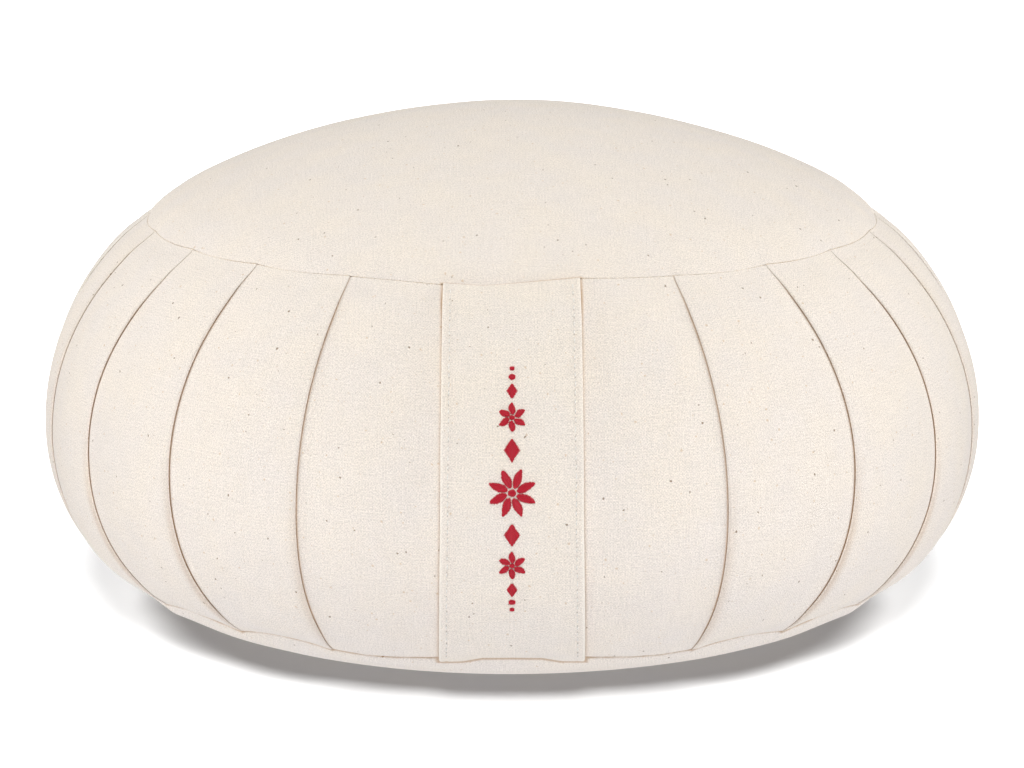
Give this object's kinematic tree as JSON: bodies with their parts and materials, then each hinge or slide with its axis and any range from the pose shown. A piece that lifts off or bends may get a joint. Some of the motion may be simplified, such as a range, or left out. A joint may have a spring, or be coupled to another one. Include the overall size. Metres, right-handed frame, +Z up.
{
  "type": "zafu meditation cushion",
  "caption": "Round floor cushion in natural cotton canvas: crowned top, pleated side band, flat underside and a sewn-on front strip.",
  "frame": {"origin": "centre of the resting face, under the middle of the cushion", "axes": "+Z up, through the crown; the front, with the sewn-on strip, faces -Y; +X to the right seen from the front"},
  "size_m": [0.3572, 0.3572, 0.187],
  "materials": {
    "canvas": "natural unbleached cotton canvas, matte, with small seed flecks",
    "strip_canvas": "natural unbleached cotton canvas strip, matte, topstitched along its long edges"
  },
  "bodies": {
    "root": {"cushion_body": "canvas", "front_strip": "strip_canvas"}
  },
  "joints": []
}
